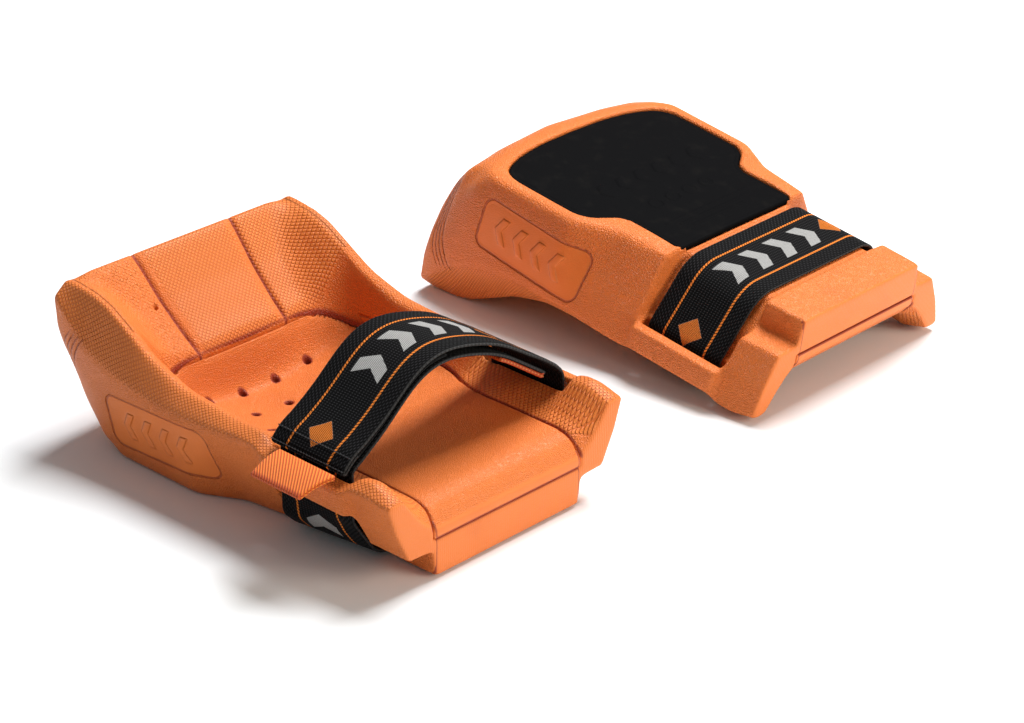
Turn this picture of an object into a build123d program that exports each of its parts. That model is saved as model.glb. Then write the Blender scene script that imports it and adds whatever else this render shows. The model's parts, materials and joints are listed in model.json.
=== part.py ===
"""A pair of strapped knee pads: one standing on its sole, one lying on its rim with the sole up.

Each pad is modelled once in its own frame, in millimetres: x across, y from the shin end (-) to the
knee end (+), z up from the ground face of the sole to the open cup. It is then placed in the pair.
"""
from build123d import *
from math import atan2, ceil, cos, degrees, hypot, radians, sin
import os

# ---- driving dimensions of one pad ---------------------------------------------------------------
PAD_END = 119.0            # knee end and shin end lie this far from the middle
CREST_X = 75.0             # highest line of the rim, from the centre line
RIM_INNER_X = 70.0         # where the rim band turns down into the cup
RIM_INNER_DROP = [(-119, 1.0), (-93, 1.0), (-90, 4.2), (-34, 4.2), (-28, 1.0), (119, 1.0)]
RAMP_Z = [(70, 44.0), (96, 67.8), (112, 83.0), (116.5, 87.0), (119, 84.5)]   # the padded knee wall

LINER_THICKNESS = 6.0
LINER_GAP = 0.2            # all round, between the liner and its recess
LINER_KNEE_END = 70.0
RECESS_STEP = 0.4           # the recess wall leans this much at the knee end
VENT_RADIUS = 3.0
VENT_PITCH = 22.5
VENT_ROWS_Y = (61.5, 37.0, 12.5)

SOLE_THICKNESS = 4.0
SOLE_GAP = 0.2
SOLE_SHIN_Y = -31.5
SOLE_SHIN_HALF = 48.0
SOLE_KNEE_HALF = 67.5
SOLE_PEAK_Y = 93.0
SOLE_CORNER = 5.0

STRAP_WIDTH = 50.0
STRAP_THICKNESS = 2.0
STRAP_Y = -62.0            # middle of the strap along the pad
SLOT_X = (69.2, 75.6)      # walls of the strap slot
SLOT_Y = (-90.0, -34.0)
RUN_Z = 2.8                # middle of the webbing where it passes under the pad
RUN_CORNER_X = 47.5
RUN_CORNER_RADIUS = 22.0
SLOT_ENTRY_Z = 35.0
SLOT_ENTRY_RADIUS = 6.0

FLAP_PIVOT_X = 72.3        # middle of the slot mouth, where a flap folds
# the closed outer flap, as x and z at its far fold, its top and its hemmed end
UPRIGHT_ARCH = ((FLAP_PIVOT_X, 54.0), (-3.3, 90.5), (-79.0, 54.5))
INVERTED_ARCH = ((FLAP_PIVOT_X, 51.5), (-3.3, 56.0), (-79.0, 54.0))
LAYER_PITCH = 5.2          # from the middle of the outer flap to the middle of the inner one
PATCH_THICKNESS = 1.2
LAYER_GAP = 0.2
BODY_GAP = 0.3             # between webbing of different bodies
HEM_LENGTH = 11.0
HEM_THICKNESS = 1.8
INNER_FOLD_LENGTH = 38.0
INNER_BEND_GAP = 1.9       # each half of the inner flap stops this far from its bend
TOP_ANGLE = 90.0           # where both flaps bend
STITCH_COUNT = 13
STITCH = (1.6, 2.4, 0.5)   # across the hem, along the seam, and proud of the webbing

TAB_LENGTH = 20.0
TAB_THICKNESS = 2.4
TAB_PIVOT_INSET = 2.0      # the tab starts this far past the line it folds on
TAB_ROOT_Y = (-85.0, -46.0)
TAB_TIP_Y = (-80.0, -47.0)

# ---- where the second pad lies, measured from the first --------------------------------------------
SECOND_X = 254.6
SECOND_Y = -14.3
SECOND_TURN = 0.7          # about z
SECOND_TILT = 8.1          # knee rim and shin wings both touch the ground

# ---- the shell's lines along its length: (y, value) ------------------------------------------------
RIM_EDGE_X = [
    (-119, 80.5), (-112, 81.3), (-92, 82.5), (-90, 84.3), (-34, 84.3), (-27, 82.8), (0, 84),
    (112, 84.5), (119, 83.5),
]
RIM_EDGE_Z = [
    (-119, 49.5), (-104, 51.5), (-93, 51.5), (-90, 48), (-34, 48), (-28, 50), (-14, 50), (9, 47), (50, 48),
    (68, 51), (81, 54.5), (94, 60), (102, 66), (110, 73), (119, 81),
]
CREST_Z = [
    (-119, 50.5), (-104, 56), (-93, 54.5), (-90, 50.3), (-34, 50.3), (-28, 53.5), (-10, 52.5), (10, 54),
    (30, 55.5), (55, 64), (75, 75.5), (86, 81.5), (97, 84.8), (112, 86.3), (119, 84.5),
]
FLOOR_Z = [
    (-119, 25), (-116.5, 32), (-112, 36.2), (-105, 38), (-80, 37), (-50, 35), (-20, 30), (0, 24), (20, 19),
    (37, 17.7), (62, 17.6),
]
LINER_EDGE_X = [(-119, 50), (-105, 50), (-50, 49), (-25, 60), (0, 63), (54, 65), (63, 58), (70, 48)]
TROUGH = [(-119, 0.0), (-105, 0.0), (-50, 0.00125), (-20, 0.0012), (0, 0.0025), (37, 0.0031), (62, 0.0031)]
LINER_RISE = [(62, 0.0), (64, 2.5), (66.5, 9.0), (68.5, 17.0), (70, 26.4)]
LINER_BED_DROP = [(-119, 5.0), (-112, 14.0), (-106, 8.0), (-102, LINER_THICKNESS), (70, LINER_THICKNESS)]

# (y, centre z, four points (x, z) from the bottom edge up the outer wall)
UNDERSIDE = [
    (-119.0, 1.5, (49.5, 1.5), (51.5, 15.5), (67.0, 16.5), (75.5, 34)),
    (-92.4, 1.5, (50.5, 1.5), (52.0, 16.5), (68.5, 17.0), (77.0, 34)),
    (-92.0, 4.5, (41.0, 4.5), (57.0, 20.0), (66.0, 34.0), (82.5, 35.5)),
    (-32.5, 4.5, (41.0, 4.5), (57.0, 20.0), (66.0, 34.0), (82.5, 35.5)),
    (-32.1, 0.4, (50.0, 0.4), (58.5, 1.5), (67.0, 16.0), (76.5, 34)),
    (0.0, 0.4, (52.0, 0.4), (62.0, 0.4), (69.5, 16.0), (78.5, 34)),
    (23.0, 0.4, (66.0, 0.4), (75.0, 0.4), (79.0, 16.0), (82.5, 34)),
    (81.0, 0.4, (66.0, 0.4), (76.0, 0.4), (79.5, 16.0), (82.5, 36)),
    (90.0, 0.4, (58.0, 0.4), (70.0, 1.5), (77.5, 7.5), (82.0, 34)),
    (97.0, 0.5, (45.0, 0.8), (66.0, 4.0), (77.0, 16.5), (82.3, 40)),
    (104.0, 1.2, (40.0, 3.5), (69.0, 7.5), (77.5, 27.0), (82.5, 48)),
    (110.0, 5.0, (38.0, 8.5), (69.5, 15.5), (77.5, 38.0), (82.5, 53)),
    (115.0, 10.5, (40.0, 14.0), (69.5, 25.0), (77.0, 43.5), (82.5, 60)),
    (118.0, 15.0, (40.0, 19.0), (69.5, 31.5), (77.5, 48.5), (82.5, 63)),
    (119.0, 20.0, (40.0, 24.0), (69.0, 37.0), (77.5, 51.0), (82.5, 66)),
]


def along(track, y):
    """The value of a track at y, straight between its points and level past its ends."""
    if y <= track[0][0]:
        return track[0][1]
    for (y0, v0), (y1, v1) in zip(track, track[1:]):
        if y <= y1:
            return v0 + (v1 - v0) * (y - y0) / (y1 - y0)
    return track[-1][1]


def underside(y):
    """The four outer-wall points and the centre height of the shell's underside at y."""
    centre = along([(row[0], row[1]) for row in UNDERSIDE], y)
    points = []
    for column in range(2, 6):
        x = along([(row[0], row[column][0]) for row in UNDERSIDE], y)
        z = along([(row[0], row[column][1]) for row in UNDERSIDE], y)
        points.append((x, z))
    return centre, points


def floor_z(x, y):
    """Top of the liner: a trough that rises at its knee end into the padded wall."""
    rise = along(LINER_RISE, y)
    flattening = 1 - rise / LINER_RISE[-1][1]
    return along(FLOOR_Z, y) + along(TROUGH, y) * x * x * flattening + rise


def mirrored(half):
    """A closed outline from its right half, which starts and ends on the centre line."""
    return half + [(-x, z) for x, z in reversed(half[1:-1])]


def section(y, outline):
    """A closed outline across the pad at y, from (x, z) points."""
    return [Vector(x, y, z) for x, z in outline]


def skin(sections):
    """A solid through outlines of equal point counts, with straight lines between matching points."""
    faces = [Face(Wire.make_polygon(outline, close=True)) for outline in (sections[0], sections[-1])]
    for near, far in zip(sections, sections[1:]):
        for k in range(len(near)):
            after = (k + 1) % len(near)
            rails = (Edge.make_line(near[k], near[after]), Edge.make_line(far[k], far[after]))
            faces.append(Face.make_surface_from_curves(*rails))
    return Solid(Shell(faces))


def shell_section(y):
    """The shell from its underside, up the wall, over the rim and down to the liner's bed."""
    centre, wall = underside(y)
    edge = (along(RIM_EDGE_X, y), along(RIM_EDGE_Z, y))
    crest = (CREST_X, along(CREST_Z, y))
    inner = (RIM_INNER_X, crest[1] - along(RIM_INNER_DROP, y))
    liner_x = along(LINER_EDGE_X, y)
    if y > LINER_KNEE_END:
        bed = along(RAMP_Z, y)
        cup = [(liner_x, bed + 0.3), (liner_x - 1.0, bed)]
    else:
        bed = along(FLOOR_Z, y) - along(LINER_BED_DROP, y)
        cup = [(liner_x, floor_z(liner_x, y)), (liner_x, bed)]
    half = [(0, centre)] + wall + [edge, crest, inner] + cup + [(0, bed)]
    return section(y, mirrored(half))


def stations(tracks, low, high, longest=16.0):
    """Every y at which a line changes direction, with long stretches divided."""
    corners = {point[0] for track in tracks for point in track}
    marks = sorted({low, high} | {y for y in corners if low < y < high})
    out = [marks[0]]
    for y in marks[1:]:
        steps = ceil((y - out[-1]) / longest)
        start = out[-1]
        if y - start < 0.35:
            continue
        out.extend(start + (y - start) * k / steps for k in range(1, steps + 1))
    return out


def block(x, y, z):
    """A box from its low and high limits on each axis."""
    size = (x[1] - x[0], y[1] - y[0], z[1] - z[0])
    middle = ((x[0] + x[1]) / 2, (y[0] + y[1]) / 2, (z[0] + z[1]) / 2)
    return Pos(*middle) * Box(*size)


def sole_outline(grow):
    """The sole seen from below: a narrow shin end, shoulders, and an arched knee end."""
    shin = SOLE_SHIN_Y - grow
    narrow = SOLE_SHIN_HALF + grow
    wide = SOLE_KNEE_HALF + grow
    peak = SOLE_PEAK_Y + grow
    corner = SOLE_CORNER + grow
    with BuildLine() as line:
        Line((0, shin), (narrow - corner, shin))
        TangentArc((narrow - corner, shin), (narrow, shin + corner), tangent=(1, 0))
        Line((narrow, shin + corner), (narrow, 2))
        Spline((narrow, 2), (wide, 25), tangents=((0, 1), (0, 1)))
        Line((wide, 25), (wide, 70))
        Spline((wide, 70), (40, peak - 3.5), (0, peak), tangents=((0, 1), (-1, 0)))
        mirror(line.line, about=Plane.YZ)
    return make_face(line.line)


def make_sole():
    plate = extrude(sole_outline(0), SOLE_THICKNESS)
    return chamfer(plate.faces().sort_by(Axis.Z)[0].edges(), 0.6)


def make_shell():
    """Moulded foam body: cup, rim, strap channel and slots, sole recess and liner bed."""
    rim = [RIM_EDGE_X, RIM_EDGE_Z, CREST_Z, UNDERSIDE]
    tracks = rim + [FLOOR_Z, RAMP_Z, LINER_EDGE_X, LINER_RISE, LINER_BED_DROP]
    ys = stations(tracks, -PAD_END, LINER_KNEE_END)
    ys += stations(tracks, LINER_KNEE_END + RECESS_STEP, PAD_END)
    body = skin([shell_section(y) for y in ys])
    for side in (-1, 1):
        slot_x = sorted((side * SLOT_X[0], side * SLOT_X[1]))
        body -= block(slot_x, SLOT_Y, (20, 70))
    body -= extrude(sole_outline(SOLE_GAP), SOLE_THICKNESS + SOLE_GAP)
    return body


def liner_section(y):
    edge = along(LINER_EDGE_X, y) - LINER_GAP
    bed = along(FLOOR_Z, y) - along(LINER_BED_DROP, y) + LINER_GAP
    top = [(x, floor_z(x, y)) for x in (edge, edge * 0.55, 0)]
    return section(y, mirrored([(0, bed), (edge, bed)] + top))


def make_liner():
    """Cushion insert: knee bed and shin rest in one piece, with vents under the knee."""
    tracks = [FLOOR_Z, LINER_EDGE_X, LINER_RISE, LINER_BED_DROP, TROUGH]
    ys = stations(tracks, -PAD_END + 0.2, LINER_KNEE_END - LINER_GAP)
    cushion = skin([liner_section(y) for y in ys])
    for row, y in enumerate(VENT_ROWS_Y):
        count = 3 if row % 2 else 4
        for k in range(count):
            x = (k - (count - 1) / 2) * VENT_PITCH
            cushion -= Pos(x, y, 18) * Cylinder(VENT_RADIUS, 40)
    return cushion


class Arch:
    """The closed strap as arcs on one centre, through three points of the outer flap's middle."""

    def __init__(self, far, top, end):
        circle = ThreePointArc(far, top, end)
        self.x, self.z = circle.arc_center.X, circle.arc_center.Y
        self.radius = circle.radius
        self.far = self.angle(far)
        self.near = self.angle(end)
        self.inner_radius = self.radius - LAYER_PITCH
        across = -FLAP_PIVOT_X - self.x
        self.far_pivot = far
        self.near_pivot = (-FLAP_PIVOT_X, self.z + (self.inner_radius**2 - across**2) ** 0.5)
        self.inner_near = self.angle(self.near_pivot)

    def angle(self, point):
        return degrees(atan2(point[1] - self.z, point[0] - self.x))

    def point(self, radius, angle):
        return (self.x + radius * cos(radians(angle)), self.z + radius * sin(radians(angle)))

    def turn(self, length):
        """The angle that a length along the outer flap takes."""
        return degrees(length / self.radius)


def curved_strip(arch, low_r, high_r, start, end, y, round_start=False, round_end=False):
    """A strip between two radii and two angles, square or round at each end, along y."""
    middle = (start + end) / 2
    half = degrees((high_r - low_r) / 2 / high_r)
    mid_r = (low_r + high_r) / 2

    def at(radius, angle):
        x, z = arch.point(radius, angle)
        return (x, y[1], z)

    with BuildLine() as line:
        ThreePointArc(at(high_r, start), at(high_r, middle), at(high_r, end))
        if round_end:
            ThreePointArc(at(high_r, end), at(mid_r, end + half), at(low_r, end))
        else:
            Line(at(high_r, end), at(low_r, end))
        ThreePointArc(at(low_r, end), at(low_r, middle), at(low_r, start))
        if round_start:
            ThreePointArc(at(low_r, start), at(mid_r, start - half), at(high_r, start))
        else:
            Line(at(low_r, start), at(high_r, start))
    return extrude(make_face(line.line), amount=y[1] - y[0], dir=(0, -1, 0))


def make_lower_run(arch):
    """Webbing from slot to slot under the pad, in its channel."""
    drop = STRAP_THICKNESS / 2 + 0.5
    start = (arch.far_pivot[0], arch.far_pivot[1] - drop)
    finish = (arch.near_pivot[0], arch.near_pivot[1] - drop)
    corners = [(start[0], SLOT_ENTRY_Z), (RUN_CORNER_X, RUN_Z)]
    route = [start] + corners + [(-x, z) for x, z in reversed(corners)] + [finish]
    radii = [SLOT_ENTRY_RADIUS, RUN_CORNER_RADIUS, RUN_CORNER_RADIUS, SLOT_ENTRY_RADIUS]
    path = FilletPolyline(*[(x, STRAP_Y, z) for x, z in route], radius=radii)
    plane = Plane(origin=(start[0], STRAP_Y, start[1]), x_dir=(0, 1, 0), z_dir=(0, 0, -1))
    return sweep(plane * Rectangle(STRAP_WIDTH, STRAP_THICKNESS), path=path)


def make_strap(arch):
    """Both flaps of the closed strap with what is sewn on them."""
    y = (STRAP_Y - STRAP_WIDTH / 2, STRAP_Y + STRAP_WIDTH / 2)
    patch_y = (y[0] + 2, y[1] - 2)
    half = STRAP_THICKNESS / 2
    outer = (arch.radius - half, arch.radius + half)
    inner = (arch.inner_radius - half, arch.inner_radius + half)
    outer_gap = arch.turn(half + BODY_GAP / 2)
    inner_gap = arch.turn(INNER_BEND_GAP)
    fold_start = arch.far + arch.turn(15.0)
    hook = (arch.near - arch.turn(60), arch.near - arch.turn(16))
    loop = (TOP_ANGLE + arch.turn(5), arch.inner_near - arch.turn(8))
    inner_root = (TOP_ANGLE + inner_gap, arch.inner_near)
    pieces = {
        "outer_flap_root": curved_strip(arch, *outer, arch.far, TOP_ANGLE - outer_gap, y, True, True),
        "outer_flap_tip": curved_strip(arch, *outer, TOP_ANGLE + outer_gap, arch.near, y, True, False),
        "hook_patch": curved_strip(arch, outer[0] - PATCH_THICKNESS, outer[0], *hook, patch_y),
        "inner_flap_root": curved_strip(arch, *inner, *inner_root, y, True, True),
        "loop_patch": curved_strip(arch, inner[1], inner[1] + PATCH_THICKNESS, *loop, patch_y),
        "inner_flap_tip": curved_strip(arch, *inner, fold_start, TOP_ANGLE - inner_gap, y, False, True),
    }
    fold_r = (inner[0] - LAYER_GAP - STRAP_THICKNESS, inner[0] - LAYER_GAP)
    fold_low = fold_start - arch.turn(1.6)
    fold = curved_strip(arch, *fold_r, fold_low, fold_start + arch.turn(INNER_FOLD_LENGTH), y)
    bend_span = (fold_low - arch.turn(1.0), fold_start - arch.turn(0.1))
    bend = curved_strip(arch, fold_r[0], inner[1], *bend_span, y, True, False)
    pieces["inner_fold"] = fold + bend
    hem_low = arch.near - arch.turn(HEM_LENGTH)
    pieces["end_hem"] = curved_strip(arch, outer[0] - HEM_THICKNESS, outer[0], hem_low, arch.near, y)
    pieces["hem_stitching"] = make_stitching(arch, outer[1], hem_low + arch.turn(1.5), y)
    pieces["pull_tab"] = make_tab(arch)
    return pieces


def make_stitching(arch, radius, angle, y):
    """The row of thread that closes the hem, standing a little proud of the webbing."""
    x, z = arch.point(radius + STITCH[2] / 2, angle)
    step = STRAP_WIDTH / STITCH_COUNT
    threads = []
    for k in range(STITCH_COUNT):
        place = Location((x, y[0] + (k + 0.5) * step, z), (0, 90 - angle, 0))
        threads.append(place * Box(STITCH[0], STITCH[1], STITCH[2]))
    return Compound(children=threads)


def tab_root(arch):
    """Where the pull tab leaves the hem: x just clear of it, and z at its middle."""
    low = arch.point(arch.radius - STRAP_THICKNESS / 2 - HEM_THICKNESS, arch.near)
    high = arch.point(arch.radius + STRAP_THICKNESS / 2, arch.near)
    return min(low[0], high[0]) - BODY_GAP, (low[1] + high[1]) / 2


def make_tab(arch):
    """Folded webbing loop sewn to the hem, to pull the strap tight or open it."""
    root, z = tab_root(arch)
    root -= TAB_PIVOT_INSET
    tip = root - TAB_LENGTH
    corners = [(root, y) for y in TAB_ROOT_Y] + [(tip, y) for y in reversed(TAB_TIP_Y)]
    face = make_face(Polyline(*corners, close=True))
    return Pos(0, 0, z - TAB_THICKNESS / 2) * extrude(face, TAB_THICKNESS)


def make_pad(arch):
    """Every piece of one pad, in the pad's own frame."""
    pieces = make_strap(arch)
    pieces["shell"] = make_shell()
    pieces["liner"] = make_liner()
    pieces["sole"] = make_sole()
    pieces["strap_lower_run"] = make_lower_run(arch)
    return pieces


def second_place(pieces):
    """Turned over and tilted until its rim and wings touch the ground."""
    turned = Rotation(0, 0, SECOND_TURN) * Rotation(SECOND_TILT, 0, 0) * Rotation(0, 180, 0)
    low = min((turned * piece).bounding_box().min.Z for piece in pieces.values())
    return Pos(SECOND_X, SECOND_Y, -low) * turned


def world_axis(place, pivot):
    """A hinge point of a pad and its axis, along the pad's own y, in the pair's frame."""
    start = (place * Pos(pivot[0], STRAP_Y, pivot[1])).position
    ahead = (place * Pos(pivot[0], STRAP_Y + 1, pivot[1])).position
    return start, ahead - start


def main():
    os.makedirs("parts", exist_ok=True)
    arches = {"upright": Arch(*UPRIGHT_ARCH), "inverted": Arch(*INVERTED_ARCH)}
    pads = {pad: make_pad(arch) for pad, arch in arches.items()}
    places = {"upright": Pos(0, 0, 0), "inverted": second_place(pads["inverted"])}
    placed = {
        f"{pad}_{name}": places[pad] * piece
        for pad, pieces in pads.items()
        for name, piece in pieces.items()
    }
    boxes = [piece.bounding_box() for piece in placed.values()]
    middle_x = (min(b.min.X for b in boxes) + max(b.max.X for b in boxes)) / 2
    middle_y = (min(b.min.Y for b in boxes) + max(b.max.Y for b in boxes)) / 2
    lowest = min(b.min.Z for b in boxes)
    shift = Pos(-middle_x, -middle_y, -lowest)
    for node, piece in placed.items():
        export_step(shift * piece, f"parts/{node}.step")
    for pad, arch in arches.items():
        print_hinges(pad, arch, shift * places[pad])


def print_hinges(pad, arch, place):
    """The fold lines of one pad's strap, in the pair's frame."""
    print(pad, "place", place)
    pivots = {
        "outer_flap": arch.far_pivot,
        "outer_bend": arch.point(arch.radius, TOP_ANGLE),
        "inner_flap": arch.near_pivot,
        "inner_bend": arch.point(arch.inner_radius, TOP_ANGLE),
        "pull_tab": tab_root(arch),
    }
    for name, pivot in pivots.items():
        start, axis = world_axis(place, pivot)
        print(pad, name, [round(v, 3) for v in start], [round(v, 5) for v in axis])


main()
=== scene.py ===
"""Looks of the pair of knee pads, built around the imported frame.

The lengths of one pad are in millimetres in its own frame: x across, y from the shin end (-) to the knee
end (+), z up from the ground face of the sole. Every vertex keeps them in the attribute "pad", and webbing
keeps its length, its width and its side in "strap", so that a material stays with the piece it is on.
"""
import json
import math
import bpy
import numpy as np
from mathutils import Matrix, Vector


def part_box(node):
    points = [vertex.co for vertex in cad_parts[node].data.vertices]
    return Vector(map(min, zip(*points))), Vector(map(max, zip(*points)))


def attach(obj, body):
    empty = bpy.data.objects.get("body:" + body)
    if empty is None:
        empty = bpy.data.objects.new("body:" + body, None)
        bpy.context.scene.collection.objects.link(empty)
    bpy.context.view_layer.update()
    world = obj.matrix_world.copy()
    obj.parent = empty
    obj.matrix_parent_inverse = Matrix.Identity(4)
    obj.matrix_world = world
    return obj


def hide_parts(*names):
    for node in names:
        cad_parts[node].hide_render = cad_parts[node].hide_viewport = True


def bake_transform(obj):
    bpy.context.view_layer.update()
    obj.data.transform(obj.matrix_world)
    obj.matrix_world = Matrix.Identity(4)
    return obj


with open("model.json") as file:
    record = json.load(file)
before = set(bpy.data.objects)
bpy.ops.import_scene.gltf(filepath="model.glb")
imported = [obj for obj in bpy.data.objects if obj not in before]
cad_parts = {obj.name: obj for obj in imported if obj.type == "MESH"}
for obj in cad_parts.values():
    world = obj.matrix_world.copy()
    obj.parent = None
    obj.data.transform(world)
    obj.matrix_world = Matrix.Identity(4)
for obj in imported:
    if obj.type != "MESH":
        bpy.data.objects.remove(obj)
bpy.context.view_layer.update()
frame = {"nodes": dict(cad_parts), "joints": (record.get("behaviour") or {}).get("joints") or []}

MM = 0.001
FAR = 99.0                  # stands for a distance that is never reached

# ---- the pad's body ------------------------------------------------------------------------------
GRID = 1.1                  # pitch of the grid that the foam is modelled on
HALF_GRID_CELLS = 80
GRID_Z = (-4.0, 93.0)
PAD_END = 119.0
CREST_X = 75.5
RIM_INNER_X = 70.0
SEAM_X = [(70, 29.5), (117, 33.0)]      # seams of the three knee panels
PUFF = 1.3                  # how far the panels swell between their seams
SEAM_DEPTH = 2.2
SEAM_WIDTH = 1.25
FRONT_LIP_Z = 22.0          # the cushion's lip hangs down to here at the shin end
LIP_DEPTH = 6.0
CUSHION_THICKNESS = 6.0
CUSHION_GAP = 0.35
BED_INSET = 3.5             # keeps the cushion thick where it curls up steeply
VENT_RADIUS = 1.9
VENT_DEPTH = 2.0
VENT_ROWS = [(59.5, 4), (37.0, 3), (12.5, 4)]
VENT_PITCH = 22.5
SLOT_X = (69.2, 75.6)
SLOT_Y = (-90.0, -34.0)
SOLE_THICKNESS = 4.0
SOLE_GAP = 0.25
SOLE_GRID = 0.8
RELIEF = 0.5                # height of the raised marks on the sole
HOLE = (-37.0, 95.5, 67.0)  # middle of the small blind hole in the knee wall
HOLE_RADIUS = 1.3
HOLE_DEPTH = 4
RIB_DEPTH = 0.5
# grip grooves: (farthest y, its z, how flat the groove is below that and above it)
RIBS = [(115.0, 46.0, 125, 41), (112.7, 42.7, 190, 48), (110.4, 39.3, 250, 55), (108.1, 36.0, 315, 62)]
BADGE_Y = (8.0, 81.5)
BADGE_Z = (12.0, 40.5)
BADGE_CORNER = 6.0
BADGE_TILT = 0.056

RIM_EDGE_X = [
    (-119, 80.5), (-112, 81.3), (-92, 82.5), (-90, 84.3), (-34, 84.3), (-27, 82.8), (0, 84), (112, 84.5),
    (119, 83),
]
RIM_EDGE_Z = [
    (-119, 49.5), (-104, 51.5), (-93, 51.5), (-90, 48), (-34, 48), (-28, 50), (-14, 50), (9, 47), (50, 48),
    (68, 51), (81, 54.5), (94, 60), (102, 66), (110, 73), (119, 81),
]
CREST_Z = [
    (-119, 50.5), (-104, 56), (-93, 54.5), (-90, 50.3), (-34, 50.3), (-28, 53.5), (-10, 52.5), (10, 54),
    (30, 55.5), (55, 64), (75, 75.5), (86, 81.5), (97, 84.8), (112, 86.3), (119, 86.0),
]
RIM_INNER_DROP = [(-119, 1.0), (-93, 1.0), (-90, 4.2), (-34, 4.2), (-28, 1.0), (119, 1.0)]
FLOOR_Z = [
    (-119, 25), (-116.5, 32), (-112, 36.2), (-105, 38), (-80, 37), (-50, 35), (-20, 30), (0, 24), (20, 19),
    (37, 17.7), (70, 17.6),
]
TROUGH = [(-105, 0.0), (-50, 0.00125), (-20, 0.0012), (0, 0.0025), (37, 0.0031)]
KNEE_WALL_Z = [(70, 44.0), (83, 53.6), (96, 65.4), (106, 76.2), (112, 82.6), (116.5, 86.6), (119, 86.0)]
CUP_EDGE_X = [
    (-105, 50), (-50, 50.5), (-32, 56), (-18, 61.5), (10, 64), (45, 65.5), (54, 65.6), (60, 63.0),
    (65.5, 58.4), (69, 52.5), (70.5, 48), (80, 46), (95, 48), (110, 56), (119, 60),
]
# the underside and outer wall: (y, centre z, four points (x, z) from the bottom edge up)
UNDERSIDE = [
    (-119.0, 1.5, (49.5, 1.5), (51.5, 15.5), (67.0, 16.5), (75.5, 34)),
    (-92.4, 1.5, (50.5, 1.5), (52.0, 16.5), (68.5, 17.0), (77.0, 34)),
    (-91.6, 4.5, (41.0, 4.5), (57.0, 20.0), (66.0, 34.0), (82.5, 35.5)),
    (-32.9, 4.5, (41.0, 4.5), (57.0, 20.0), (66.0, 34.0), (82.5, 35.5)),
    (-32.1, 0.4, (50.0, 0.4), (58.5, 1.5), (67.0, 16.0), (76.5, 34)),
    (0.0, 0.4, (52.0, 0.4), (62.0, 0.4), (69.5, 16.0), (78.5, 34)),
    (23.0, 0.4, (66.0, 0.4), (75.0, 0.4), (79.0, 16.0), (82.5, 34)),
    (81.0, 0.4, (66.0, 0.4), (76.0, 0.4), (79.5, 16.0), (82.5, 36)),
    (90.0, 0.4, (58.0, 0.4), (70.0, 1.5), (77.5, 7.5), (82.0, 34)),
    (97.0, 0.5, (45.0, 0.8), (66.0, 4.0), (77.0, 16.5), (82.3, 40)),
    (104.0, 1.2, (40.0, 3.5), (69.0, 7.5), (77.5, 27.0), (82.5, 48)),
    (110.0, 5.0, (38.0, 8.5), (69.5, 15.5), (77.5, 38.0), (82.5, 53)),
    (115.0, 10.5, (40.0, 14.0), (69.5, 25.0), (77.0, 43.5), (82.5, 60)),
    (118.0, 15.0, (40.0, 19.0), (69.5, 31.5), (77.5, 48.5), (82.5, 63)),
    (119.0, 20.0, (40.0, 24.0), (69.0, 37.0), (77.5, 51.0), (82.5, 66)),
]
# right halves of outlines seen from above, from the shin end's middle to the knee end's
CUSHION_OUTLINE = [
    (0, -130), (50, -130), (50, -112), (49.8, -70), (50.2, -50), (55.5, -33), (61, -18), (63.8, 10),
    (65.3, 44), (64.8, 53), (62, 60), (57, 65.5), (50, 69), (42, 70.3), (30, 70.5), (0, 70.5),
]
SOLE_OUTLINE = [
    (0, -31.5), (42, -31.5), (46.2, -30), (48, -26), (48, 0), (48.8, 5), (51.5, 10), (57, 14), (62.5, 18),
    (66, 23), (67.5, 30), (67.5, 66), (66.2, 75), (62, 81.5), (54, 86), (42, 89.6), (24, 92.2), (0, 93),
]

# ---- the strap -----------------------------------------------------------------------------------
STRAP_WIDTH = 50.0
STRAP_THICKNESS = 2.0
STRAP_Y = -62.0
STRAP_EDGES = (STRAP_Y - STRAP_WIDTH / 2, STRAP_Y + STRAP_WIDTH / 2)
PATCH_EDGES = (STRAP_EDGES[0] + 2, STRAP_EDGES[1] - 2)
FLAP_PIVOT_X = 72.3
UPRIGHT_ARCH = ((FLAP_PIVOT_X, 54.0), (-3.3, 90.5), (-79.0, 54.5))
INVERTED_ARCH = ((FLAP_PIVOT_X, 51.5), (-3.3, 56.0), (-79.0, 54.0))
ARCH_PEAK = 5.8              # how the standing pad's strap departs from an arc
ARCH_NEAR_DIP = 5.5
ARCH_FAR_DIP = 3.0
LAYER_PITCH = 5.2
PATCH_THICKNESS = 1.2
LAYER_GAP = 0.2
HEM_LENGTH = 11.0
HEM_THICKNESS = 1.8
INNER_FOLD_LENGTH = 38.0
STITCH_COUNT = 25           # in each row across the hem
STITCH_ROWS = (1.6, 8.8)    # their distances from the hem's end
STITCH_SIDES = 8
STITCH_STEPS = 6
RUN_START = {"upright": -90.0, "inverted": -67.6}    # places the woven devices on the run under the pad
FOLD_REACH = 7.0            # the folds at the slot mouths run this far along their flap
FOLD_DROP = 1.5             # and start this far below its pivot, where the run under the pad ends
CROWN_REACH = 7.0           # two points this far either side of the arch's top are handed to bend(), which does not use them
RUN_FAR_CORNERS = [(47.5, 2.8), (FLAP_PIVOT_X, 35)]
RUN_RADII = (8, 18, 22, 6)
# the run's corners at the near wall, at its shin-side and knee-side edges: the standing pad's hangs slack
NEAR_CORNERS = {
    "upright": ([(-FLAP_PIVOT_X, 27), (-56, 2.6)], [(-FLAP_PIVOT_X, 13.5), (-60, 1.6)]),
    "inverted": ([(-FLAP_PIVOT_X, 35), (-47.5, 2.8)], [(-FLAP_PIVOT_X, 35), (-47.5, 2.8)]),
}
STEP = 1.5                  # spacing of the webbing's sections
TAB_LENGTH = 20.0
TAB_THICKNESS = 1.15
TAB_DROOP = 4.5

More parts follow.
